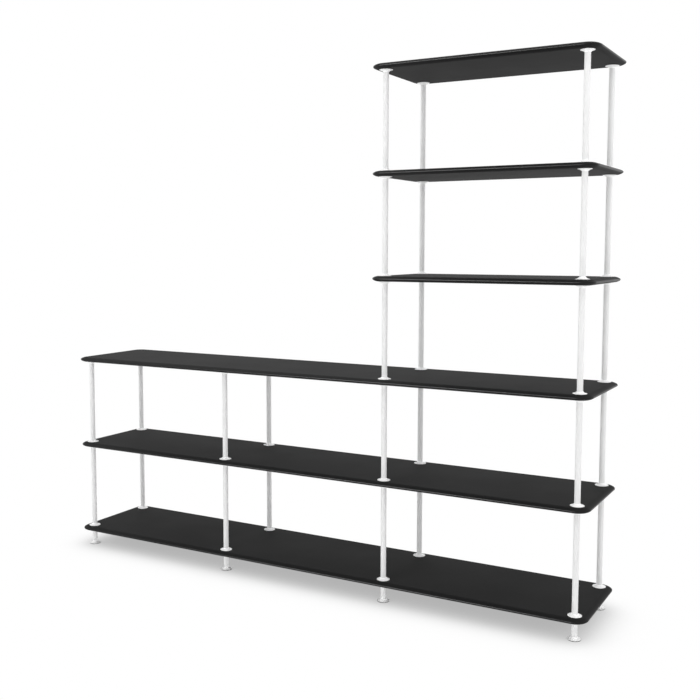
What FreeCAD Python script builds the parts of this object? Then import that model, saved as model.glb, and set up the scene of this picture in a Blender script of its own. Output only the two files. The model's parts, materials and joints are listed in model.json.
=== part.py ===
# Open shelving unit: dark boards with a bullnose edge, stacked on pale tubes with flared collars.
# Three long boards run over three bays, and a tower of three short boards stands on the right-hand bay.
# Millimetres, with the origin on the floor under the middle: +X to the right, +Y to the back, +Z up.
import FreeCAD
import Part
import Sketcher
import math
import os

SIZES = {
    "bay_pitch": (651, "post to post along the boards"),
    "row_pitch": (295, "front posts to back posts"),
    "level_pitch": (342, "top of one board to top of the next"),
    "edge_overhang": (42.5, "post axis to the tip of the board's edge"),
    "board_thickness": (18, "board, all over its flat part"),
    "corner_radius": (44, "board corner, seen from above"),
    "nose_length": (21, "bullnose, from the flat of the board to its tip"),
    "nose_tip_radius": (4, "tightest round, at the tip of the bullnose"),
    "tube_diameter": (18.5, "outside of the tubes"),
    "tube_wall": (1.5, "wall of the tubes"),
    "collar_diameter": (43.5, "rim of a collar where it meets the board"),
    "collar_height": (7.5, "board face to tube end"),
    "collar_rim": (1, "thickness of a collar at its rim"),
    "flare_radius": (18, "hollow curve of a collar or a foot, from tube to rim"),
    "spigot_length": (12, "stretch of a collar inside the tube"),
    "press_clearance": (0.05, "gap all round where one piece is pressed into another"),
    "stud_diameter": (8, "threaded stud that joins two collars"),
    "stud_grip": (18, "stretch of a stud inside each collar"),
    "stud_chamfer": (0.8, "lead-in at the ends of studs and stems"),
    "stud_room": (0.5, "gap all round a stud in its hole through a board"),
    "thread_clearance": (0.05, "gap all round a stud or stem in its threaded hole"),
    "insert_diameter": (12, "threaded insert in the underside of a top board"),
    "insert_cover": (4, "board left above a threaded insert"),
    "insert_end_gap": (2, "threaded insert left empty above the stud"),
    "foot_diameter": (42, "rim of a levelling foot"),
    "foot_height": (10.5, "floor to the tube of a leg, foot screwed right in"),
    "foot_rim": (2.2, "thickness of a levelling foot at its rim"),
    "foot_chamfer": (0.6, "bevel under the rim of a levelling foot"),
    "foot_tube_length": (39, "short tube of a leg"),
    "bush_length": (12, "threaded bush in the short tube"),
    "stem_diameter": (10, "threaded stem of a levelling foot"),
    "stem_end_gap": (7, "top of a stem to the collar above it, foot screwed right in"),
}

COLUMNS = ("left", "mid_left", "mid_right", "right")
ROWS = {"front": -1, "back": 1}
TOWER_COLUMN = 2
LONG_SHELVES = ("long_shelf_bottom", "long_shelf_middle", "long_shelf_top")
TOWER_SHELVES = ("tower_shelf_lower", "tower_shelf_upper", "tower_shelf_top")
SHELVES = LONG_SHELVES + TOWER_SHELVES
LAST_LONG = len(LONG_SHELVES) - 1
LAST_LEVEL = len(SHELVES) - 1

TUBE_RADIUS = "Sizes.tube_diameter / 2"
TUBE_BORE = "(Sizes.tube_diameter / 2 - Sizes.tube_wall)"
PRESSED_RADIUS = f"({TUBE_BORE} - Sizes.press_clearance)"
TUBE_LENGTH = "(Sizes.level_pitch - Sizes.board_thickness - 2 * Sizes.collar_height)"
STUD_RADIUS = "Sizes.stud_diameter / 2"
STUD_BORE = "(Sizes.stud_diameter / 2 + Sizes.thread_clearance)"
INSERT_LENGTH = "(Sizes.board_thickness - Sizes.insert_cover)"
STEM_RADIUS = "Sizes.stem_diameter / 2"
STEM_BORE = "(Sizes.stem_diameter / 2 + Sizes.thread_clearance)"
STEM_LENGTH = "(Sizes.foot_tube_length - Sizes.spigot_length - Sizes.stem_end_gap)"
BOTTOM_UNDERSIDE = "(Sizes.foot_height + Sizes.foot_tube_length + Sizes.collar_height)"
HALF_DEPTH = "(Sizes.row_pitch / 2 + Sizes.edge_overhang)"
FRONT_ROW = "Sizes.row_pitch / 2"

# The sketcher's numbers for the points of an edge and for the two axes, which start at the origin.
START, END, CENTRE = range(1, 4)
ACROSS, UPRIGHT = range(-1, -3, -1)

doc = FreeCAD.newDocument("ShelvingUnit")
sheet = doc.addObject("Spreadsheet::Sheet", "Sizes")
nodes = []


def fill_sheet():
    for row, (alias, (value, words)) in enumerate(SIZES.items(), start=1):
        sheet.set(f"A{row}", words)
        sheet.set(f"B{row}", str(value))
        sheet.setAlias(f"B{row}", alias)
    doc.recompute()


def size(expression):
    return float(sheet.evalExpression(expression))


def underside(level):
    return f"({BOTTOM_UNDERSIDE} + Sizes.level_pitch * {level})"


def upper_face(level):
    return f"({underside(level)} + Sizes.board_thickness)"


def column_x(column, centre=0.0):
    return f"Sizes.bay_pitch * {column - (len(COLUMNS) - 1) / 2 - centre}"


def row_y(row):
    return f"Sizes.row_pitch * {ROWS[row] / 2}"


def first_column(level):
    return 0 if level <= LAST_LONG else TOWER_COLUMN


def shelf_centre(level):
    # Middle of a board in bay pitches from the middle of the unit.
    return (first_column(level) + len(COLUMNS) - 1) / 2 - (len(COLUMNS) - 1) / 2


def new_body(label, x="0", y="0", z="0"):
    body = doc.addObject("PartDesign::Body", label)
    body.Label = label
    for axis, expression in zip("xyz", (x, y, z)):
        body.setExpression(f"Placement.Base.{axis}", expression)
    nodes.append(body)
    return body


def origin_feature(body, role):
    return next(feature for feature in body.Origin.OriginFeatures if feature.Role == role)


def new_sketch(body, plane, shift=None):
    sketch = body.newObject("Sketcher::SketchObject", f"{body.Label}_sketch")
    sketch.AttachmentSupport = [(origin_feature(body, plane), "")]
    sketch.MapMode = "FlatFace"
    for axis, expression in (shift or {}).items():
        sketch.setExpression(f"AttachmentOffset.Base.{axis}", expression)
    return sketch


def bind(sketch, kind, *place, to):
    # A dimension of the sketch that follows the sheet.
    index = sketch.addConstraint(Sketcher.Constraint(kind, *place, size(to)))
    sketch.setExpression(f"Constraints[{index}]", to)


def pin_point(sketch, edge, end, x, y):
    for kind, axis, expression in (("DistanceX", UPRIGHT, x), ("DistanceY", ACROSS, y)):
        if expression == "0":
            sketch.addConstraint(Sketcher.Constraint("PointOnObject", edge, end, axis))
        else:
            bind(sketch, kind, ACROSS, START, edge, end, to=expression)


def side_geometry(start, end, radius):
    # A straight side, or an arc that bulges to the right of the way from start to end (left if negative).
    if radius is None:
        return Part.LineSegment(start, end)
    chord = end - start
    half = chord.Length / 2
    rise = abs(radius) - math.sqrt(radius ** 2 - half ** 2)
    across = FreeCAD.Vector(chord.y, -chord.x, 0).normalize()
    middle = start + chord / 2 + across * math.copysign(rise, radius)
    return Part.Arc(start, middle, end)


def outline(sketch, corners, arcs=None):
    # Closed outline through corners given as expressions; arcs maps a side to its radius and its direction.
    arcs = arcs or {}
    points = [FreeCAD.Vector(size(x), size(y), 0) for x, y in corners]
    ends = []
    for side, start in enumerate(points):
        end = points[(side + 1) % len(points)]
        radius, direction = arcs.get(side, (None, 1))
        bulge = None if radius is None else direction * size(radius)
        edge = sketch.addGeometry(side_geometry(start, end, bulge), False)
        first_point = sketch.getPoint(edge, START)
        forward = first_point.distanceToPoint(start) < first_point.distanceToPoint(end)
        ends.append((edge, START, END) if forward else (edge, END, START))
    for side, (edge, near, far) in enumerate(ends):
        last_edge, last_near, last_far = ends[side - 1]
        sketch.addConstraint(Sketcher.Constraint("Coincident", last_edge, last_far, edge, near))
        pin_point(sketch, edge, near, *corners[side])
    for side, (radius, _) in arcs.items():
        bind(sketch, "Radius", ends[side][0], to=radius)


def circle(sketch, radius):
    edge = sketch.addGeometry(Part.Circle(FreeCAD.Vector(), FreeCAD.Vector(0, 0, 1), size(radius)), False)
    sketch.addConstraint(Sketcher.Constraint("Coincident", edge, CENTRE, ACROSS, START))
    bind(sketch, "Radius", edge, to=radius)


def pad(body, sketch, length):
    feature = body.newObject("PartDesign::Pad", f"{body.Label}_pad")
    feature.Profile = sketch
    feature.setExpression("Length", length)
    return feature


def hole(body, radius, depth, shift):
    # A round hole upwards from the body's XY plane.
    sketch = new_sketch(body, "XY_Plane", shift)
    circle(sketch, radius)
    feature = body.newObject("PartDesign::Pocket", f"{body.Label}_hole")
    feature.Profile = sketch
    feature.Reversed = True
    feature.setExpression("Length", depth)
    return feature


def turned(body, corners, arcs=None, x="0", front="0"):
    # A piece turned about a vertical axis; x and front place the axis in the body.
    sketch = new_sketch(body, "XZ_Plane", {"x": x, "z": front})
    outline(sketch, corners, arcs)
    feature = body.newObject("PartDesign::Revolution", f"{body.Label}_turned")
    feature.Profile = sketch
    feature.ReferenceAxis = (sketch, ["V_Axis"])
    feature.Angle = 360
    return feature


def repeat_over_posts(body, feature, columns):
    # From the first post of the front row to the columns on its right, in both rows.
    pattern = body.newObject("PartDesign::LinearPattern", f"{body.Label}_posts")
    pattern.Originals = [feature]
    pattern.Direction = (origin_feature(body, "X_Axis"), [""])
    pattern.setExpression("Length", f"Sizes.bay_pitch * {columns - 1}")
    pattern.Occurrences = columns
    pattern.Direction2 = (origin_feature(body, "Y_Axis"), [""])
    pattern.setExpression("Length2", f"Sizes.row_pitch * {len(ROWS) - 1}")
    pattern.Occurrences2 = len(ROWS)
    body.Tip = pattern


def nose_profile(body):
    # Section of the bullnose on the front edge: a long arc off each face, and a small one at the tip.
    sketch = new_sketch(body, "YZ_Plane")
    thickness = size("Sizes.board_thickness")
    tip_radius = size("Sizes.nose_tip_radius")
    reach = size("Sizes.nose_length - Sizes.nose_tip_radius")
    root = -size(f"{HALF_DEPTH} - Sizes.nose_length")
    long_radius = (reach ** 2 + thickness ** 2 / 4 - tip_radius ** 2) / (thickness - 2 * tip_radius)
    turn = math.atan2(reach, long_radius - thickness / 2)
    quarter = math.pi / 2
    upward = FreeCAD.Vector(0, 0, 1)

    def arc(y, z, radius, start, end):
        ring = Part.Circle(FreeCAD.Vector(y, z, 0), upward, radius)
        return sketch.addGeometry(Part.ArcOfCircle(ring, start, end), False)

    low_corner = FreeCAD.Vector(root, 0, 0)
    high_corner = FreeCAD.Vector(root, thickness, 0)
    flat = sketch.addGeometry(Part.LineSegment(low_corner, high_corner), False)
    top = arc(root, thickness - long_radius, long_radius, quarter, quarter + turn)
    tip = arc(root - reach, thickness / 2, tip_radius, quarter + turn, 3 * quarter - turn)
    low = arc(root, long_radius, long_radius, 3 * quarter - turn, 3 * quarter)
    for constraint in (
        ("Coincident", flat, END, top, START),
        ("Coincident", flat, START, low, END),
        ("Tangent", top, END, tip, START),
        ("Tangent", tip, END, low, START),
        ("Vertical", top, CENTRE, top, START),
        ("Vertical", low, CENTRE, low, END),
        ("Vertical", flat),
    ):
        sketch.addConstraint(Sketcher.Constraint(*constraint))
    bind(sketch, "Radius", tip, to="Sizes.nose_tip_radius")
    pin_point(sketch, tip, CENTRE, f"Sizes.nose_tip_radius - {HALF_DEPTH}", "Sizes.board_thickness / 2")
    pin_point(sketch, flat, START, f"Sizes.nose_length - {HALF_DEPTH}", "0")
    bind(sketch, "DistanceY", ACROSS, START, flat, END, to="Sizes.board_thickness")
    return sketch


def shelf(level):
    # The flat board, the bullnose swept round it, and then the holes for studs and inserts.
    centre = shelf_centre(level)
    columns = len(COLUMNS) - first_column(level)
    body = new_body(SHELVES[level], x=f"Sizes.bay_pitch * {centre}", z=underside(level))
    half_length = f"(Sizes.bay_pitch * {(columns - 1) / 2} + Sizes.edge_overhang - Sizes.nose_length)"
    half_depth = f"({HALF_DEPTH} - Sizes.nose_length)"
    radius = "(Sizes.corner_radius - Sizes.nose_length)"
    short_length = f"({half_length} - {radius})"
    short_depth = f"({half_depth} - {radius})"
    path = new_sketch(body, "XY_Plane")
    corners = [
        (f"-{short_length}", f"-{half_depth}"),
        (short_length, f"-{half_depth}"),
        (half_length, f"-{short_depth}"),
        (half_length, short_depth),
        (short_length, half_depth),
        (f"-{short_length}", half_depth),
        (f"-{half_length}", short_depth),
        (f"-{half_length}", f"-{short_depth}"),
    ]
    outline(path, corners, {side: (radius, 1) for side in (1, 3, 5, 7)})
    pad(body, path, "Sizes.board_thickness")
    nose = body.newObject("PartDesign::AdditivePipe", f"{body.Label}_nose")
    nose.Profile = nose_profile(body)
    nose.Spine = (path, [f"Edge{side + 1}" for side in range(len(corners))])
    doc.recompute()
    for column, count in blind_columns(level):
        shift = {"x": column_x(column, centre), "y": f"-{FRONT_ROW}"}
        pressed = "Sizes.insert_diameter / 2 + Sizes.press_clearance"
        repeat_over_posts(body, hole(body, pressed, INSERT_LENGTH, shift), count)
    for column, count in through_columns(level):
        shift = {"x": column_x(column, centre), "y": f"-{FRONT_ROW}"}
        roomy = f"{STUD_RADIUS} + Sizes.stud_room"
        repeat_over_posts(body, hole(body, roomy, "Sizes.board_thickness", shift), count)


def blind_columns(level):
    # Posts that end under a board: first column and how many.
    if level == LAST_LONG:
        return [(0, TOWER_COLUMN)]
    if level == LAST_LEVEL:
        return [(TOWER_COLUMN, len(COLUMNS) - TOWER_COLUMN)]
    return []


def through_columns(level):
    # Posts that go on above a board: first column and how many.
    if level == LAST_LEVEL:
        return []
    first = first_column(level + 1)
    return [(first, len(COLUMNS) - first)]


def collar_profile(side):
    # Rim on the board, hollow flare, shoulder for the tube, spigot and bore; side is 1 above a board.
    end = f"({side} * (Sizes.collar_height + Sizes.spigot_length))"
    corners = [
        (STUD_BORE, "0"),
        ("Sizes.collar_diameter / 2", "0"),
        ("Sizes.collar_diameter / 2", f"{side} * Sizes.collar_rim"),
        (TUBE_RADIUS, f"{side} * Sizes.collar_height"),
        (PRESSED_RADIUS, f"{side} * Sizes.collar_height"),
        (PRESSED_RADIUS, end),
        (STUD_BORE, end),
    ]
    return corners, {2: ("Sizes.flare_radius", -side)}


def collars(level):
    # Under a board at every post that reaches it, and on top of it where the posts go on.
    centre = shelf_centre(level)
    first = first_column(level)
    body = new_body(f"{SHELVES[level]}_collars", x=f"Sizes.bay_pitch * {centre}", z=underside(level))
    corners, arcs = collar_profile(-1)
    below = turned(body, corners, arcs, column_x(first, centre), FRONT_ROW)
    repeat_over_posts(body, below, len(COLUMNS) - first)
    corners, arcs = collar_profile(1)
    lifted = [(x, f"Sizes.board_thickness + {z}") for x, z in corners]
    for column, count in through_columns(level):
        above = turned(body, lifted, arcs, column_x(column, centre), FRONT_ROW)
        repeat_over_posts(body, above, count)


def tube(label, column, row, z, length):
    body = new_body(label, column_x(column), row_y(row), z)
    sketch = new_sketch(body, "XY_Plane")
    circle(sketch, TUBE_RADIUS)
    circle(sketch, TUBE_BORE)
    pad(body, sketch, length)


def rod_profile(bottom, length):
    # A threaded rod between two heights, bevelled at both ends.
    bevelled = f"({STUD_RADIUS} - Sizes.stud_chamfer)"
    return [
        ("0", bottom),
        (bevelled, bottom),
        (STUD_RADIUS, f"{bottom} + Sizes.stud_chamfer"),
        (STUD_RADIUS, f"{bottom} + {length} - Sizes.stud_chamfer"),
        (bevelled, f"{bottom} + {length}"),
        ("0", f"{bottom} + {length}"),
    ]


def ring_profile(bore, radius, bottom, length):
    return [
        (bore, bottom),
        (radius, bottom),
        (radius, f"{bottom} + {length}"),
        (bore, f"{bottom} + {length}"),
    ]


def spread(label, corners_at, columns_at):
    # Equal small pieces at every level and post that has one.
    body = new_body(label)
    for level in range(len(SHELVES)):
        for column, count in columns_at(level):
            piece = turned(body, corners_at(level), None, column_x(column), FRONT_ROW)
            repeat_over_posts(body, piece, count)


def joining_stud(level):
    length = "(Sizes.board_thickness + 2 * Sizes.stud_grip)"
    return rod_profile(f"({underside(level)} - Sizes.stud_grip)", length)


def top_stud(level):
    length = f"(Sizes.stud_grip + {INSERT_LENGTH} - Sizes.insert_end_gap)"
    return rod_profile(f"({underside(level)} - Sizes.stud_grip)", length)


def threaded_insert(level):
    return ring_profile(STUD_BORE, "Sizes.insert_diameter / 2", underside(level), INSERT_LENGTH)


def foot_bush(level):
    return ring_profile(STEM_BORE, PRESSED_RADIUS, "Sizes.foot_height", "Sizes.bush_length")


def all_columns_at_floor(level):
    return [(0, len(COLUMNS))] if level == 0 else []


def levelling_foot(label, column, row):
    # Flared foot like a collar, with a stem that screws up into the bush of its leg.
    rim = "Sizes.foot_diameter / 2"
    stem_top = f"(Sizes.foot_height + {STEM_LENGTH})"
    body = new_body(label, column_x(column), row_y(row))
    corners = [
        ("0", "0"),
        (f"{rim} - Sizes.foot_chamfer", "0"),
        (rim, "Sizes.foot_chamfer"),
        (rim, "Sizes.foot_rim"),
        (TUBE_RADIUS, "Sizes.foot_height"),
        (STEM_RADIUS, "Sizes.foot_height"),
        (STEM_RADIUS, f"{stem_top} - Sizes.stud_chamfer"),
        (f"{STEM_RADIUS} - Sizes.stud_chamfer", stem_top),
        ("0", stem_top),
    ]
    turned(body, corners, {3: ("Sizes.flare_radius", -1)})


def build():
    fill_sheet()
    for level in range(len(SHELVES)):
        shelf(level)
        collars(level)
    for column, column_name in enumerate(COLUMNS):
        last_level = LAST_LONG if column < TOWER_COLUMN else LAST_LEVEL
        for row in ROWS:
            post = f"{row}_{column_name}"
            levelling_foot(f"{post}_levelling_foot", column, row)
            tube(f"{post}_foot_tube", column, row, "Sizes.foot_height", "Sizes.foot_tube_length")
            for level in range(last_level):
                start = f"{upper_face(level)} + Sizes.collar_height"
                tube(f"{post}_tube_{level + 1}", column, row, start, TUBE_LENGTH)
    spread("joining_studs", joining_stud, through_columns)
    spread("top_studs", top_stud, blind_columns)
    spread("threaded_inserts", threaded_insert, blind_columns)
    spread("foot_bushes", foot_bush, all_columns_at_floor)
    doc.recompute()


def check():
    for item in doc.Objects:
        if "Invalid" in item.State or "Error" in item.State:
            raise RuntimeError(f"{item.Label} failed: {item.State}")
    for node in nodes:
        if node.Shape.isNull() or not node.Shape.isValid():
            raise RuntimeError(f"{node.Label} has no valid shape")


def export():
    os.makedirs("parts", exist_ok=True)
    for node in nodes:
        node.Shape.exportStep(f"parts/{node.Label}.step")
    whole = Part.makeCompound([node.Shape for node in nodes])
    box = whole.optimalBoundingBox()
    print(f"{len(nodes)} nodes, {len(whole.Solids)} solids")
    print(f"{box.XLength:.1f} x {box.YLength:.1f} x {box.ZLength:.1f} mm")


build()
check()
export()
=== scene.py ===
# %% [markdown]
# # A stepped shelving unit
#
# The real object is an open shelf. Six black boards are stacked on white steel tubes with flared collars:
# three long boards below, and a tower of three short ones over the right-hand bay. Eight feet screw in
# and out at the floor. The frame comes from CAD, where the sizes, the fits and the moving feet were
# settled. This lesson loads that frame and dresses it: each shown piece gets a finer mesh, and each
# surface gets the finish of the real one.

# %% Load the frame
import json
import math

import bmesh
import bpy
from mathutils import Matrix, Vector


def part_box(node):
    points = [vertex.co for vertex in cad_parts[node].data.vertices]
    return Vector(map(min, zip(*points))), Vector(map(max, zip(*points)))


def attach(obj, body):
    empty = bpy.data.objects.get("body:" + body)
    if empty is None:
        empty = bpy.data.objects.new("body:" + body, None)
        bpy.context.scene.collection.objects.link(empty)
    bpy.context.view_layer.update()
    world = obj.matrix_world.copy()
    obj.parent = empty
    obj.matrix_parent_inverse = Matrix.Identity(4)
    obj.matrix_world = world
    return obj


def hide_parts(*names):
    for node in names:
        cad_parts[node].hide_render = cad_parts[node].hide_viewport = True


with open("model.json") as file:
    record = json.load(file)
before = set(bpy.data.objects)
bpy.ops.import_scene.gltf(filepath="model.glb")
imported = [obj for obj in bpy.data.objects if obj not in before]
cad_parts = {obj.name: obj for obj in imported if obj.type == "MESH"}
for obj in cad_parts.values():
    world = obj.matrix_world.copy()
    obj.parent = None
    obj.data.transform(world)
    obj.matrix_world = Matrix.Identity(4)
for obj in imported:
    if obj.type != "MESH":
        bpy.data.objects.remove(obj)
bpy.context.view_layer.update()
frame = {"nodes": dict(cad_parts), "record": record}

# %% [markdown]
# ## Sorting the nodes
#
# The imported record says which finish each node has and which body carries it. The names could be typed in
# again here, but sorting the nodes by finish gives the lists that the later steps loop over, and those
# can't go stale.

# %% Sort the nodes by finish and by body
nodes_with = {}
for part in frame["record"]["subparts"]:
    nodes_with.setdefault(part["material_slot"], []).append(part["node"])
body_of = {}
for body, members in frame["record"]["behaviour"]["bodies"].items():
    body_of.update({node: body for node in members})
for slot, nodes in nodes_with.items():
    print(f"{slot}: {len(nodes)} nodes")

# %% [markdown]
# ## The camera
#
# A camera can be placed by eye, or solved from the picture. Here it was solved: the tubes, collars and
# board edges of the photo are a grid of known points, and only one camera puts them all where they are
# seen. The middle of the lens isn't the middle of the picture, as in a crop of a larger one, and
# Blender's shift takes care of that.

# %% Camera at the photo's viewing angle
PICTURE_SIDE = 700
FOCAL_LENGTH_IN_PIXELS = 969.6
LENS_MIDDLE_IN_PICTURE = (322.7, 331.7)
CAMERA_PLACE = Vector((1.743, -3.022, 1.198))
CAMERA_TURN = math.radians(29.92)
CAMERA_DIP = math.radians(5.03)

camera_data = bpy.data.cameras.new("photo_camera")
camera_data.lens = camera_data.sensor_width * FOCAL_LENGTH_IN_PIXELS / PICTURE_SIDE
camera_data.shift_x = 0.5 - LENS_MIDDLE_IN_PICTURE[0] / PICTURE_SIDE
camera_data.shift_y = LENS_MIDDLE_IN_PICTURE[1] / PICTURE_SIDE - 0.5
camera = bpy.data.objects.new("photo_camera", camera_data)
camera.location = CAMERA_PLACE
camera.rotation_euler = (math.radians(90) - CAMERA_DIP, 0, CAMERA_TURN)
bpy.context.scene.collection.objects.link(camera)
bpy.context.scene.camera = camera
bpy.context.scene.view_settings.view_transform = "Standard"
print(f"lens {camera_data.lens:.1f} mm, shift {camera_data.shift_x:.3f} {camera_data.shift_y:.3f}")

# %% [markdown]
# ## Small helpers for node trees
#
# Every finish below is a small tree of nodes. Nodes can be added and linked line by line, but a few
# helpers keep the trees short. The first adds a node and sets its inputs and options at once. The next
# four are the small sums and mixes that many trees need. The last two start a material, either empty or
# with its one shader and the values that are the same all over the surface.

# %% Helpers for node trees
def add_node(tree, kind, inputs=None, **options):
    node = tree.nodes.new(kind)
    for option, value in options.items():
        setattr(node, option, value)
    for socket, value in (inputs or {}).items():
        if isinstance(value, bpy.types.NodeSocket):
            tree.links.new(value, node.inputs[socket])
        else:
            node.inputs[socket].default_value = value
    return node


def calculate(tree, operation, *values, **options):
    sockets = dict(enumerate(values))
    return add_node(tree, "ShaderNodeMath", sockets, operation=operation, **options).outputs[0]


def upward_part(tree, vector):
    return add_node(tree, "ShaderNodeSeparateXYZ", {"Vector": vector}).outputs["Z"]


def mix_numbers(tree, share, first, second):
    # A Mix node has sockets for each kind of data, all of the same names, so they go by their numbers.
    return add_node(tree, "ShaderNodeMix", {0: share, 2: first, 3: second}).outputs[0]


def mix_colours(tree, share, first, second):
    return add_node(tree, "ShaderNodeMix", {0: share, 6: first, 7: second}, data_type="RGBA").outputs[2]


def empty_finish(name):
    finish = bpy.data.materials.new(name)
    finish.use_nodes = True
    finish.node_tree.nodes.clear()
    return finish, finish.node_tree


def new_finish(name, plain_values):
    finish, tree = empty_finish(name)
    shader = add_node(tree, "ShaderNodeBsdfPrincipled", plain_values)
    add_node(tree, "ShaderNodeOutputMaterial", {"Surface": shader.outputs["BSDF"]})
    return finish, tree, shader


print("helpers ready for nodes, sums, mixes and finishes")

# %% [markdown]
# ## What every sprayed or moulded skin shares
#
# Lacquer, powder coat and moulded nylon all have the same three things at different sizes: a fine grain,
# a soft ripple that looks like orange peel, and broad patches where the gloss drifts a little. That could
# be three separate trees, but one node group with the sizes as inputs says it once, and each material
# places it with its own values.

# %% Node group for a sprayed or moulded skin
SKIN_SIZES = {"Grain Size": 0.0005, "Ripple Size": 0.004, "Patch Size": 0.2, "Grain Share": 0.3}
SKIN_DETAIL = {"Grain": 1.0, "Ripple": 1.0, "Patch": 3.0}


def start_group(name, inputs, outputs):
    group = bpy.data.node_groups.new(name, "ShaderNodeTree")
    for socket_name, value in inputs.items():
        socket = group.interface.new_socket(socket_name, in_out="INPUT", socket_type="NodeSocketFloat")
        socket.default_value = value
    for socket_name in outputs:
        group.interface.new_socket(socket_name, in_out="OUTPUT", socket_type="NodeSocketFloat")
    return group, add_node(group, "NodeGroupInput").outputs


def make_skin_group():
    group, given = start_group("skin_texture", SKIN_SIZES, ("Height", "Patches"))
    place = add_node(group, "ShaderNodeTexCoord").outputs["Object"]
    noise = {}
    for name, detail in SKIN_DETAIL.items():
        per_metre = calculate(group, "DIVIDE", 1.0, given[f"{name} Size"])
        settings = {"Vector": place, "Scale": per_metre, "Detail": detail}
        noise[name] = add_node(group, "ShaderNodeTexNoise", settings).outputs["Fac"]
    height = mix_numbers(group, given["Grain Share"], noise["Ripple"], noise["Grain"])
    add_node(group, "NodeGroupOutput", {"Height": height, "Patches": noise["Patch"]})
    return group


skin_group = make_skin_group()
print("skin group nodes:", len(skin_group.nodes))

# %% [markdown]
# ## What a finish does with a group
#
# On a real surface the gloss, the colour and the height all vary a little. A group only gives numbers
# that change over the surface, and a finish turns them into those three: patches make its roughness drift
# and its colour vary between two tones, and heights become a bump. Each way is a helper, so that the
# finishes below hold only their own values.

# %% Helpers for finishes
NOISE_LOW = 0.3
NOISE_HIGH = 0.7


def use_skin(tree, sizes):
    skin = add_node(tree, "ShaderNodeGroup", node_tree=skin_group)
    for name, value in sizes.items():
        skin.inputs[name].default_value = value
    return skin.outputs


def drift(tree, patches, low, high):
    # Noise gathers round its middle, so the middle of its range is spread over the whole drift.
    spread = {"Value": patches, "From Min": NOISE_LOW, "From Max": NOISE_HIGH,
              "To Min": low, "To Max": high}
    return add_node(tree, "ShaderNodeMapRange", spread).outputs["Result"]


def vary_colour(tree, shader, patches, first, second):
    tone = mix_colours(tree, patches, (*first, 1), (*second, 1))
    tree.links.new(tone, shader.inputs["Base Color"])


def bump(tree, shader, height, depth):
    bumped = add_node(tree, "ShaderNodeBump", {"Height": height, "Distance": depth}).outputs["Normal"]
    tree.links.new(bumped, shader.inputs["Normal"])


print("helpers ready for skin, drift, colour and bump")

# %% [markdown]
# ## The black lacquer
#
# The boards are fibreboard under a black lacquer with a weak, wide gloss. Seen flat it is nearly black,
# low over a board it turns a dark grey, and it catches a soft light along the rounded edges. One
# roughness could do for all of it, but hands and dusters polish the rounded edges smoother, so a mask
# tells the edges from the faces by the surface's own direction. The group adds the ripple of the spray
# and the drift of the gloss.

# %% Black lacquer
LACQUER_SKIN = {"Grain Size": 0.0006, "Ripple Size": 0.004, "Patch Size": 0.22, "Grain Share": 0.25}
LACQUER_GLOSS = 0.18
LACQUER_ROUGHNESS = (0.72, 0.78)
LACQUER_TONES = ((0.0035, 0.0035, 0.0036), (0.005, 0.005, 0.0051))
LACQUER_BUMP = 0.00001
FACE_UPRIGHT = 0.98
EDGE_UPRIGHT = 0.6
EDGE_POLISH = -0.42


def edge_mask(tree):
    # Nothing on the level faces, and one where the surface has turned away from them.
    facing = add_node(tree, "ShaderNodeNewGeometry").outputs["Normal"]
    upright = calculate(tree, "ABSOLUTE", upward_part(tree, facing))
    turned = {"Value": upright, "From Min": FACE_UPRIGHT, "From Max": EDGE_UPRIGHT}
    return add_node(tree, "ShaderNodeMapRange", turned).outputs["Result"]


def black_lacquer():
    finish, tree, shader = new_finish("black_satin_lacquer", {"Specular IOR Level": LACQUER_GLOSS})
    skin = use_skin(tree, LACQUER_SKIN)
    sprayed = drift(tree, skin["Patches"], *LACQUER_ROUGHNESS)
    polished = calculate(tree, "MULTIPLY_ADD", edge_mask(tree), EDGE_POLISH, sprayed)
    tree.links.new(polished, shader.inputs["Roughness"])
    vary_colour(tree, shader, skin["Patches"], *LACQUER_TONES)
    bump(tree, shader, skin["Height"], LACQUER_BUMP)
    return finish


lacquer = black_lacquer()
print("lacquer nodes:", len(lacquer.node_tree.nodes))

# %% [markdown]
# ## The boards
#
# Each board is a flat panel with round corners and a bullnose: a long shallow arc from each face, joined
# by a small round at the tip. A bevel modifier gives only a circular edge, so the section is worked out
# from its arcs and carried round the outline. One extra loop just inside the flat keeps the shading of
# the faces dead flat.

# %% Section of a board's edge
NOSE_LENGTH = 0.021
NOSE_TIP_RADIUS = 0.004
LONG_ARC_STEPS = 9
TIP_STEPS = 18
FLAT_MARGIN = 0.002


def arc_points(centre, radius, start, end, steps):
    turns = [start + (end - start) * step / steps for step in range(steps + 1)]
    return [(centre[0] + radius * math.cos(turn), centre[1] + radius * math.sin(turn)) for turn in turns]


def nose_section(half_thickness):
    # Points as (distance in from the tip, height over the board's middle), from the top to the underside.
    reach = NOSE_LENGTH - NOSE_TIP_RADIUS
    rise = half_thickness - NOSE_TIP_RADIUS
    long_radius = (reach ** 2 + half_thickness ** 2 - NOSE_TIP_RADIUS ** 2) / (2 * rise)
    turn = math.atan2(reach, long_radius - half_thickness)
    quarter = math.pi / 2
    high = (NOSE_LENGTH, half_thickness - long_radius)
    low = (NOSE_LENGTH, long_radius - half_thickness)
    tip = (NOSE_TIP_RADIUS, 0)
    points = arc_points(high, long_radius, quarter, quarter + turn, LONG_ARC_STEPS)
    points += arc_points(tip, NOSE_TIP_RADIUS, quarter + turn, 3 * quarter - turn, TIP_STEPS)[1:]
    points += arc_points(low, long_radius, 3 * quarter - turn, 3 * quarter, LONG_ARC_STEPS)[1:]
    inside = NOSE_LENGTH + FLAT_MARGIN
    return [(inside, half_thickness)] + points + [(inside, -half_thickness)]


print("arcs of a section:", LONG_ARC_STEPS, "+", TIP_STEPS, "+", LONG_ARC_STEPS, "steps")

# %% Outline of a board
CORNER_RADIUS = 0.044
CORNER_STEPS = 20


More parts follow.
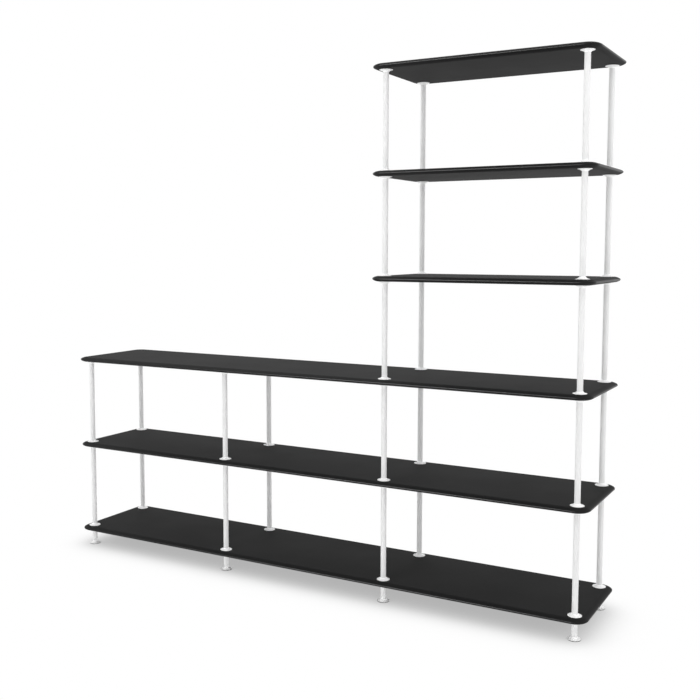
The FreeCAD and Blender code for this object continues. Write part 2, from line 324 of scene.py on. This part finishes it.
def board_outline(low, high):
    # Stations round the board: a point on the tip of its edge, and the way out from there.
    stations = []
    corners = ((high.x, high.y), (low.x, high.y), (low.x, low.y), (high.x, low.y))
    for quarter, (x, y) in enumerate(corners):
        inward_x = math.copysign(CORNER_RADIUS, (low.x + high.x) / 2 - x)
        inward_y = math.copysign(CORNER_RADIUS, (low.y + high.y) / 2 - y)
        centre = Vector((x, y, 0)) + Vector((inward_x, inward_y, 0))
        for step in range(CORNER_STEPS + 1):
            turn = (quarter + step / CORNER_STEPS) * math.pi / 2
            out = Vector((math.cos(turn), math.sin(turn), 0))
            stations.append((centre + out * CORNER_RADIUS, out))
    return stations


print("stations at each corner of a board:", CORNER_STEPS + 1)

# %% Make the boards
SMOOTH_BELOW = math.radians(35)


def new_piece(name, shape, node, finish):
    bmesh.ops.recalc_face_normals(shape, faces=shape.faces)
    mesh = bpy.data.meshes.new(name)
    shape.to_mesh(mesh)
    shape.free()
    mesh.shade_smooth()
    mesh.set_sharp_from_angle(angle=SMOOTH_BELOW)
    mesh.materials.append(finish)
    piece = bpy.data.objects.new(name, mesh)
    bpy.context.scene.collection.objects.link(piece)
    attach(piece, body_of[node])
    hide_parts(node)
    return piece


def lacquered_board(node):
    low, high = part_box(node)
    middle = (low.z + high.z) / 2
    section = nose_section(high.z - middle)
    shape = bmesh.new()
    rings = []
    for point, out in board_outline(low, high):
        places = [point - out * inset + Vector((0, 0, middle + rise)) for inset, rise in section]
        rings.append([shape.verts.new(place) for place in places])
    for ring, after in zip(rings, rings[1:] + rings[:1]):
        for step in range(len(ring) - 1):
            shape.faces.new((ring[step], ring[step + 1], after[step + 1], after[step]))
    shape.faces.new([ring[0] for ring in rings])
    shape.faces.new([ring[-1] for ring in rings])
    return new_piece(f"{node}_lacquered", shape, node, lacquer)


boards = [lacquered_board(node) for node in nodes_with["board_lacquer"]]
print("boards:", len(boards), "faces each:", len(boards[0].data.polygons))

# %% [markdown]
# ## The white powder coat
#
# Tubes and collars are steel under a baked white powder. Powder flows out less than lacquer, so its
# ripple is finer, about a millimetre across, and its gloss is weak. A plain white would do from afar, but
# up close the colour drifts by a hair from patch to patch, and the same group as for the lacquer gives
# that. The collars carry the same powder as the tubes, but their coat is made whiter: painted light that
# stands in for the brighter light they catch.

# %% White powder coat
POWDER_SKIN = {"Grain Size": 0.0004, "Ripple Size": 0.0012, "Patch Size": 0.06, "Grain Share": 0.3}
POWDER_BUMP = 0.00001
TUBE_WHITE = 0.74
TUBE_ROUGHNESS = 0.68
# Painted light: the collars have the tubes' powder, and this whiter colour stands in for brighter light on
# them.
COLLAR_WHITE_PAINTED_LIGHTER = 0.95
COLLAR_ROUGHNESS = 0.6
COAT_GLOSS = 0.25
COAT_DRIFT = 0.04
COAT_TONES = (0.98, 1.02)


def white_coat(name, white, rough, skin_sizes, depth):
    finish, tree, shader = new_finish(name, {"Specular IOR Level": COAT_GLOSS})
    skin = use_skin(tree, skin_sizes)
    patchy = drift(tree, skin["Patches"], rough - COAT_DRIFT, rough + COAT_DRIFT)
    tree.links.new(patchy, shader.inputs["Roughness"])
    greyer, whiter = [(share * white,) * 3 for share in COAT_TONES]
    vary_colour(tree, shader, skin["Patches"], greyer, whiter)
    bump(tree, shader, skin["Height"], depth)
    return finish


tube_coat = white_coat("tube_powder_coat", TUBE_WHITE, TUBE_ROUGHNESS, POWDER_SKIN, POWDER_BUMP)
collar_coat_painted_lighter = white_coat("collar_powder_painted_lighter", COLLAR_WHITE_PAINTED_LIGHTER, COLLAR_ROUGHNESS, POWDER_SKIN, POWDER_BUMP)
print("coats:", tube_coat.name, collar_coat_painted_lighter.name)

# %% [markdown]
# ## The tubes
#
# The posts are lengths of round steel tube. A cylinder primitive could stand in for one, but it has no
# wall and no edge. Turning a small profile about the tube's axis, as a lathe does, gives the bore, the
# wall and the ends in one closed mesh. The same lathe makes the collars and the feet further on. The ends
# are softened by a bevel modifier, which only touches sharp edges.

# %% A lathe
TURN_STEPS = 48
SOFT_EDGE = 0.0003
SOFT_EDGE_STEPS = 2


def ring_of_points(shape, x, y, radius, height):
    if radius == 0:
        return [shape.verts.new((x, y, height))]
    angles = [2 * math.pi * step / TURN_STEPS for step in range(TURN_STEPS)]
    return [shape.verts.new((x + radius * math.cos(a), y + radius * math.sin(a), height)) for a in angles]


def turn_on_lathe(shape, profile, x, y):
    # The profile is a list of (radius, height). It closes on itself, or on the axis where it starts there.
    rings = [ring_of_points(shape, x, y, radius, height) for radius, height in profile]
    starts_on_axis = profile[0][0] == 0
    following = rings[1:] if starts_on_axis else rings[1:] + rings[:1]
    for ring, after in zip(rings, following):
        for step in range(TURN_STEPS):
            onward = (step + 1) % TURN_STEPS
            corners = [ring[step % len(ring)], ring[onward % len(ring)],
                       after[onward % len(after)], after[step % len(after)]]
            shape.faces.new(list(dict.fromkeys(corners)))


def soften(piece):
    edges = piece.modifiers.new("softened_edges", "BEVEL")
    edges.width = SOFT_EDGE
    edges.segments = SOFT_EDGE_STEPS
    edges.limit_method = "ANGLE"
    edges.angle_limit = SMOOTH_BELOW


print("lathe with", TURN_STEPS, "steps")

# %% Make the tubes
TUBE_WALL = 0.0015


def axis_and_radius(low, high):
    centre = (low + high) / 2
    return centre, high.x - centre.x


def coated_tube(node):
    low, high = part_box(node)
    centre, radius = axis_and_radius(low, high)
    bore = radius - TUBE_WALL
    profile = [(radius, low.z), (radius, high.z), (bore, high.z), (bore, low.z)]
    shape = bmesh.new()
    turn_on_lathe(shape, profile, centre.x, centre.y)
    piece = new_piece(f"{node}_coated", shape, node, tube_coat)
    soften(piece)
    return piece


tubes = [coated_tube(node) for node in nodes_with["tube_paint"]]
print("tubes:", len(tubes))

# %% [markdown]
# ## The collars
#
# A collar is a small trumpet: a thin rim on the board, a hollow flare up to the width of the tube, and a
# spigot that the tube is pressed over. The photo shows one on and under each board wherever a post meets
# it. Each could be placed by hand, but their places are read from the tubes: each end of a tube that
# isn't on a foot has a collar between it and the nearest board.

# %% Profile of a collar
COLLAR_RIM = 0.001
FLARE_RADIUS = 0.018
SPIGOT_LENGTH = 0.012
SPIGOT_CLEARANCE = 0.00005
STUD_BORE = 0.00405
FLARE_STEPS = 10


def flare(rim, shoulder):
    # Hollow arc between two points of a profile, with its middle on the far side from the axis.
    start, end = Vector(rim), Vector(shoulder)
    chord = end - start
    across = Vector((-chord.y, chord.x)).normalized()
    outward = across if across.x > 0 else -across
    centre = (start + end) / 2 + outward * math.sqrt(FLARE_RADIUS ** 2 - chord.length_squared / 4)
    first = math.atan2(start.y - centre.y, start.x - centre.x)
    last = math.atan2(end.y - centre.y, end.x - centre.x)
    if last - first > math.pi:
        last -= 2 * math.pi
    if first - last > math.pi:
        first -= 2 * math.pi
    return arc_points(centre, FLARE_RADIUS, first, last, FLARE_STEPS)


def collar_profile(rim_radius, tube_radius, height):
    # Heights run from the board to the end of the spigot.
    spigot = tube_radius - TUBE_WALL - SPIGOT_CLEARANCE
    top = height + SPIGOT_LENGTH
    curve = flare((rim_radius, COLLAR_RIM), (tube_radius, height))
    return [(STUD_BORE, 0), (rim_radius, 0)] + curve + [(spigot, height), (spigot, top), (STUD_BORE, top)]


print("flare of a collar:", FLARE_STEPS, "steps")

# %% Make the collars
COLLAR_REACH = 0.02
tube_boxes = [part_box(node) for node in nodes_with["tube_paint"]]
board_of = {f"{node}_collars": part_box(node) for node in nodes_with["board_lacquer"]}


def rim_of_collars(node, tube_radius):
    # The outermost collar reaches past the outermost tube by its rim.
    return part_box(node)[1].x - max(high.x for low, high in tube_boxes) + tube_radius


def coated_collars(node):
    # A tube's end that is within a collar's reach of the board's top or underside has a collar there.
    board_low, board_high = board_of[node]
    shape = bmesh.new()
    count = 0
    for low, high in tube_boxes:
        centre, radius = axis_and_radius(low, high)
        rim_radius = rim_of_collars(node, radius)
        inside = board_low.x < centre.x < board_high.x
        for face, end, way in ((board_high.z, low.z, 1), (board_low.z, high.z, -1)):
            height = (end - face) * way
            if inside and 0 < height < COLLAR_REACH:
                profile = collar_profile(rim_radius, radius, height)
                turn_on_lathe(shape, [(r, face + way * rise) for r, rise in profile], centre.x, centre.y)
                count += 1
    piece = new_piece(f"{node}_coated", shape, node, collar_coat_painted_lighter)
    soften(piece)
    return count


print("collars:", sum(coated_collars(node) for node in nodes_with["collar_paint"]))

# %% [markdown]
# ## The nylon of the feet
#
# The pads of the feet are moulded white nylon, and a thin dark line of shade lies where they meet the
# floor. That contact shadow is painted on as a colour two millimetres high: the nylon starts as another
# white coat, and below a set height its colour changes to a dark grey, painted shade.

# %% White nylon with a painted contact shadow
NYLON_SKIN = {"Grain Size": 0.0003, "Ripple Size": 0.003, "Patch Size": 0.02, "Grain Share": 0.5}
NYLON_BUMP = 0.000008
NYLON_WHITE = 0.95
NYLON_ROUGHNESS = 0.5
# Painted shade: below this height the nylon turns dark grey, standing in for the contact shadow under the
# rim.
PAINTED_SHADE_TOP = 0.002
PAINTED_SHADE_GREY = (0.02, 0.02, 0.02, 1)


def nylon_with_painted_shade():
    finish = white_coat("moulded_nylon", NYLON_WHITE, NYLON_ROUGHNESS, NYLON_SKIN, NYLON_BUMP)
    tree = finish.node_tree
    colour = tree.nodes["Principled BSDF"].inputs["Base Color"]
    white = colour.links[0].from_socket
    place = add_node(tree, "ShaderNodeTexCoord").outputs["Object"]
    # Painted shade: the dark grey below the set height stands in for the contact shadow where the pad meets
    # the floor.
    over_painted_shade = calculate(tree, "GREATER_THAN", upward_part(tree, place), PAINTED_SHADE_TOP)
    tree.links.new(mix_colours(tree, over_painted_shade, PAINTED_SHADE_GREY, white), colour)
    return finish


foot_nylon = nylon_with_painted_shade()
print("nylon nodes:", len(foot_nylon.node_tree.nodes))

# %% [markdown]
# ## Turned and plated metal
#
# Stems, studs, bushes and inserts are turned on a lathe, and all but the brass inserts are zinc plated. A
# lathe leaves fine rings, and the metal dulls in patches. A stretched picture of metal could show that,
# but a noise that changes only with height makes the rings of any turned piece, so a second group gives
# rings and patches to all of them.

# %% Turned metals
MARK_SIZES = {"Ring Size": 0.0002, "Patch Size": 0.01}
RING_DEPTH = 0.000005
SMOOTHER_BY = 0.06
ROUGHER_BY = 0.1
DULLED_TONE = 0.85
ZINC = (0.62, 0.62, 0.63)
ZINC_ROUGHNESS = 0.3
BUSH_ZINC = (0.58, 0.58, 0.60)
BUSH_ROUGHNESS = 0.36
BRASS = (0.71, 0.55, 0.27)
BRASS_ROUGHNESS = 0.3


def make_tool_mark_group():
    group, given = start_group("tool_marks", MARK_SIZES, ("Rings", "Patches"))
    place = add_node(group, "ShaderNodeTexCoord").outputs["Object"]
    along = {"W": calculate(group, "DIVIDE", upward_part(group, place), given["Ring Size"]), "Scale": 1.0}
    rings = add_node(group, "ShaderNodeTexNoise", along, noise_dimensions="1D").outputs["Fac"]
    around = {"Vector": place, "Scale": calculate(group, "DIVIDE", 1.0, given["Patch Size"])}
    patches = add_node(group, "ShaderNodeTexNoise", around).outputs["Fac"]
    add_node(group, "NodeGroupOutput", {"Rings": rings, "Patches": patches})
    return group


def turned_metal(name, colour, rough):
    finish, tree, shader = new_finish(name, {"Metallic": 1.0})
    marks = add_node(tree, "ShaderNodeGroup", node_tree=tool_marks).outputs
    patchy = drift(tree, marks["Patches"], rough - SMOOTHER_BY, rough + ROUGHER_BY)
    tree.links.new(patchy, shader.inputs["Roughness"])
    dulled = [DULLED_TONE * channel for channel in colour]
    vary_colour(tree, shader, marks["Patches"], dulled, colour)
    bump(tree, shader, marks["Rings"], RING_DEPTH)
    return finish


tool_marks = make_tool_mark_group()
zinc = turned_metal("stud_zinc_plate", ZINC, ZINC_ROUGHNESS)
bush_zinc = turned_metal("bush_zinc_plate", BUSH_ZINC, BUSH_ROUGHNESS)
brass = turned_metal("plain_brass", BRASS, BRASS_ROUGHNESS)
print("metals:", zinc.name, bush_zinc.name, brass.name)

# %% [markdown]
# ## The feet
#
# Each foot is a nylon pad with the same flare as the collars, on a threaded steel stem that screws up
# into the leg. The pad comes off the lathe. The thread shows only when a foot is screwed out, but then it
# has to be there. A thread can be a swept section or a raised pattern on a cylinder, and the second needs
# no joining: each point's radius follows its height and its place round the stem.

# %% Shape of a pad
FOOT_RIM = 0.0022
FOOT_BEVEL = 0.0006
FOOT_HEIGHT = 0.0105


def foot_pad(node):
    low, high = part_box(node)
    centre, rim = axis_and_radius(low, high)
    neck = axis_and_radius(*tube_boxes[0])[1]
    curve = flare((rim, FOOT_RIM), (neck, FOOT_HEIGHT))
    profile = [(0, 0), (rim - FOOT_BEVEL, 0), (rim, FOOT_BEVEL)] + curve + [(0, FOOT_HEIGHT)]
    shape = bmesh.new()
    turn_on_lathe(shape, [(radius, low.z + rise) for radius, rise in profile], centre.x, centre.y)
    piece = new_piece(f"{node}_pad", shape, node, foot_nylon)
    soften(piece)
    return piece


print("pad:", FOOT_HEIGHT, "m high, with a rim of", FOOT_RIM, "m")

# %% Shape of a threaded stem
STEM_RADIUS = 0.005
STEM_INSIDE_PAD = 0.004
STEM_END_BEVEL = 0.0008
STEM_STEPS = 24
THREAD_PITCH = 0.0015
THREAD_DEPTH = 0.0008
ROWS_IN_A_PITCH = 8


def thread_radius(height, share_of_turn, bottom, top):
    ramp = (height / THREAD_PITCH - share_of_turn) % 1
    groove = THREAD_DEPTH * abs(2 * ramp - 1)
    bevel = max(0, STEM_END_BEVEL - min(height - bottom, top - height))
    return STEM_RADIUS - max(groove, bevel)


def thread_ring(shape, centre, height, bottom, top):
    ring = []
    for step in range(STEM_STEPS):
        share = step / STEM_STEPS
        radius = thread_radius(height, share, bottom, top)
        angle = 2 * math.pi * share
        place = (centre.x + radius * math.cos(angle), centre.y + radius * math.sin(angle), height)
        ring.append(shape.verts.new(place))
    return ring


def foot_stem(node):
    low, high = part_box(node)
    centre = (low + high) / 2
    bottom, top = low.z + FOOT_HEIGHT - STEM_INSIDE_PAD, high.z
    rows = round((top - bottom) / THREAD_PITCH * ROWS_IN_A_PITCH)
    heights = [bottom + (top - bottom) * row / rows for row in range(rows + 1)]
    shape = bmesh.new()
    rings = [thread_ring(shape, centre, height, bottom, top) for height in heights]
    for ring, after in zip(rings, rings[1:]):
        for step in range(STEM_STEPS):
            onward = (step + 1) % STEM_STEPS
            shape.faces.new((ring[step], ring[onward], after[onward], after[step]))
    shape.faces.new(rings[0])
    shape.faces.new(rings[-1])
    return new_piece(f"{node}_stem", shape, node, zinc)


print("thread:", THREAD_PITCH, "m a turn,", THREAD_DEPTH, "m deep")

# %% Make the feet
feet = [(foot_pad(node), foot_stem(node)) for node in nodes_with["foot_plastic"]]
print("feet:", len(feet), "faces of a stem:", len(feet[0][1].data.polygons))

# %% [markdown]
# ## The hidden metal
#
# Studs, inserts and bushes sit inside the collars, boards and legs. They could be turned again here, but
# nobody sees them and their CAD solids are right as they are, so they keep those and only get their
# metal.

# %% Metal for the hidden pieces
for slot, finish in (("stud_steel", zinc), ("bush_steel", bush_zinc), ("insert_brass", brass)):
    for node in nodes_with[slot]:
        frame["nodes"][node].data.materials.clear()
        frame["nodes"][node].data.materials.append(finish)
        print(node, "has", finish.name)

# %% [markdown]
# ## The floor
#
# The photo is a product picture on plain white, with one soft shade under the bottom board. A lit floor
# would go grey away from the light, so the picture gets a clear film instead: it lets the white room
# through, and darkens it only where the unit covers the floor. The Ambient Occlusion node tells how much
# of the room over a point is hidden by something near. A film also keeps a foot in view when it is
# screwed out below the floor. Matt surfaces meet a floor that glows evenly, which lights the undersides
# and the legs.

# %% Floor
FLOOR_SIDE = 60.0
FLOOR_LIGHT = 0.92
SHADE_REACH = 0.2
MOST_COVERED = 0.1
NEARLY_OPEN = 0.95
DEEPEST_SHADE = 0.44
NO_SHADE = 1.0


def rays_that_see(tree):
    # One for the rays that make the picture: from the camera, through glass, or off a glossy surface.
    path = add_node(tree, "ShaderNodeLightPath").outputs
    straight = calculate(tree, "ADD", path["Is Camera Ray"], path["Is Transmission Ray"])
    return calculate(tree, "ADD", straight, path["Is Glossy Ray"], use_clamp=True)


def floor_finish():
    finish, tree = empty_finish("studio_floor")
    open_room = add_node(tree, "ShaderNodeAmbientOcclusion", {"Distance": SHADE_REACH}).outputs["AO"]
    levels = {"Value": open_room, "From Min": MOST_COVERED, "From Max": NEARLY_OPEN,
              "To Min": DEEPEST_SHADE, "To Max": NO_SHADE}
    shade = add_node(tree, "ShaderNodeMapRange", levels).outputs["Result"]
    film = add_node(tree, "ShaderNodeBsdfTransparent", {"Color": shade}).outputs[0]
    glow = add_node(tree, "ShaderNodeEmission", {"Strength": FLOOR_LIGHT}).outputs[0]
    glow_or_film = {0: rays_that_see(tree), 1: glow, 2: film}
    surface = add_node(tree, "ShaderNodeMixShader", glow_or_film).outputs[0]
    add_node(tree, "ShaderNodeOutputMaterial", {"Surface": surface})
    return finish


floor_shape = bmesh.new()
bmesh.ops.create_grid(floor_shape, x_segments=1, y_segments=1, size=FLOOR_SIDE / 2)
floor_mesh = bpy.data.meshes.new("studio_floor")
floor_shape.to_mesh(floor_mesh)
floor_shape.free()
floor_mesh.materials.append(floor_finish())
floor = bpy.data.objects.new("studio_floor", floor_mesh)
bpy.context.scene.collection.objects.link(floor)
print("floor", FLOOR_SIDE, "m square")

# %% [markdown]
# ## The room
#
# The world does two jobs, told apart by the kind of ray that asks. To the camera, in reflections and
# through glass it is plain white. To matt surfaces it is a light tent: a bright band round the horizon
# and a weaker light from above. Lamps from a few sides would leave streaks on the tubes, but light from
# low all round passes between the boards, so that every tube looks almost flat, as in the photo.

# %% World
HORIZON_LIGHT = 5.1
OVERHEAD_LIGHT = 1.0
BAND_TOP = 0.12
SEEN_ROOM_LIGHT = 1.0

world = bpy.data.worlds.new("white_studio")
world.use_nodes = True
bpy.context.scene.world = world
tree = world.node_tree
tree.nodes.clear()
rise = upward_part(tree, add_node(tree, "ShaderNodeTexCoord").outputs["Generated"])
band = {"Value": rise, "From Min": 0.0, "From Max": BAND_TOP,
        "To Min": HORIZON_LIGHT, "To Max": OVERHEAD_LIGHT}
tent = add_node(tree, "ShaderNodeMapRange", band, interpolation_type="SMOOTHSTEP").outputs["Result"]
strength = mix_numbers(tree, rays_that_see(tree), tent, SEEN_ROOM_LIGHT)
room = add_node(tree, "ShaderNodeBackground", {"Color": (1, 1, 1, 1), "Strength": strength}).outputs[0]
add_node(tree, "ShaderNodeOutputWorld", {"Surface": room})
print("world nodes:", len(tree.nodes))

# %% [markdown]
# ## The lamp
#
# The photo shows a soft line of light along the tips of the rounded edges. Painting it on would be wrong
# from any other side, so a wide lamp stands in front and is mirrored there. It adds nothing to matt
# surfaces, and light linking keeps it to the boards, because on the tubes it would be a streak.

# %% Lamp
LAMP_AIM = Vector((0.3, 0.0, 0.9))
LAMP_DISTANCE = 4.5
LAMP_BEARING = math.radians(250)
LAMP_RISE = math.radians(3)
LAMP_WIDTH = 2.6
LAMP_HEIGHT = 1.8
LAMP_WATTS = 320

lacquered = bpy.data.collections.new("lacquered_boards")
for board in boards:
    lacquered.objects.link(board)

lamp_data = bpy.data.lights.new("front_line", "AREA")
lamp_data.shape = "RECTANGLE"
lamp_data.size = LAMP_WIDTH
lamp_data.size_y = LAMP_HEIGHT
lamp_data.energy = LAMP_WATTS
lamp = bpy.data.objects.new("front_line", lamp_data)
outward = Vector((math.cos(LAMP_BEARING), math.sin(LAMP_BEARING), math.tan(LAMP_RISE))).normalized()
lamp.location = LAMP_AIM + outward * LAMP_DISTANCE
lamp.rotation_euler = outward.to_track_quat("Z", "Y").to_euler()
lamp.visible_camera = False
lamp.visible_glossy = True
lamp.visible_diffuse = False
lamp.light_linking.receiver_collection = lacquered
bpy.context.scene.collection.objects.link(lamp)
print(lamp.name, LAMP_WATTS, "W at", [round(value, 2) for value in lamp.location])
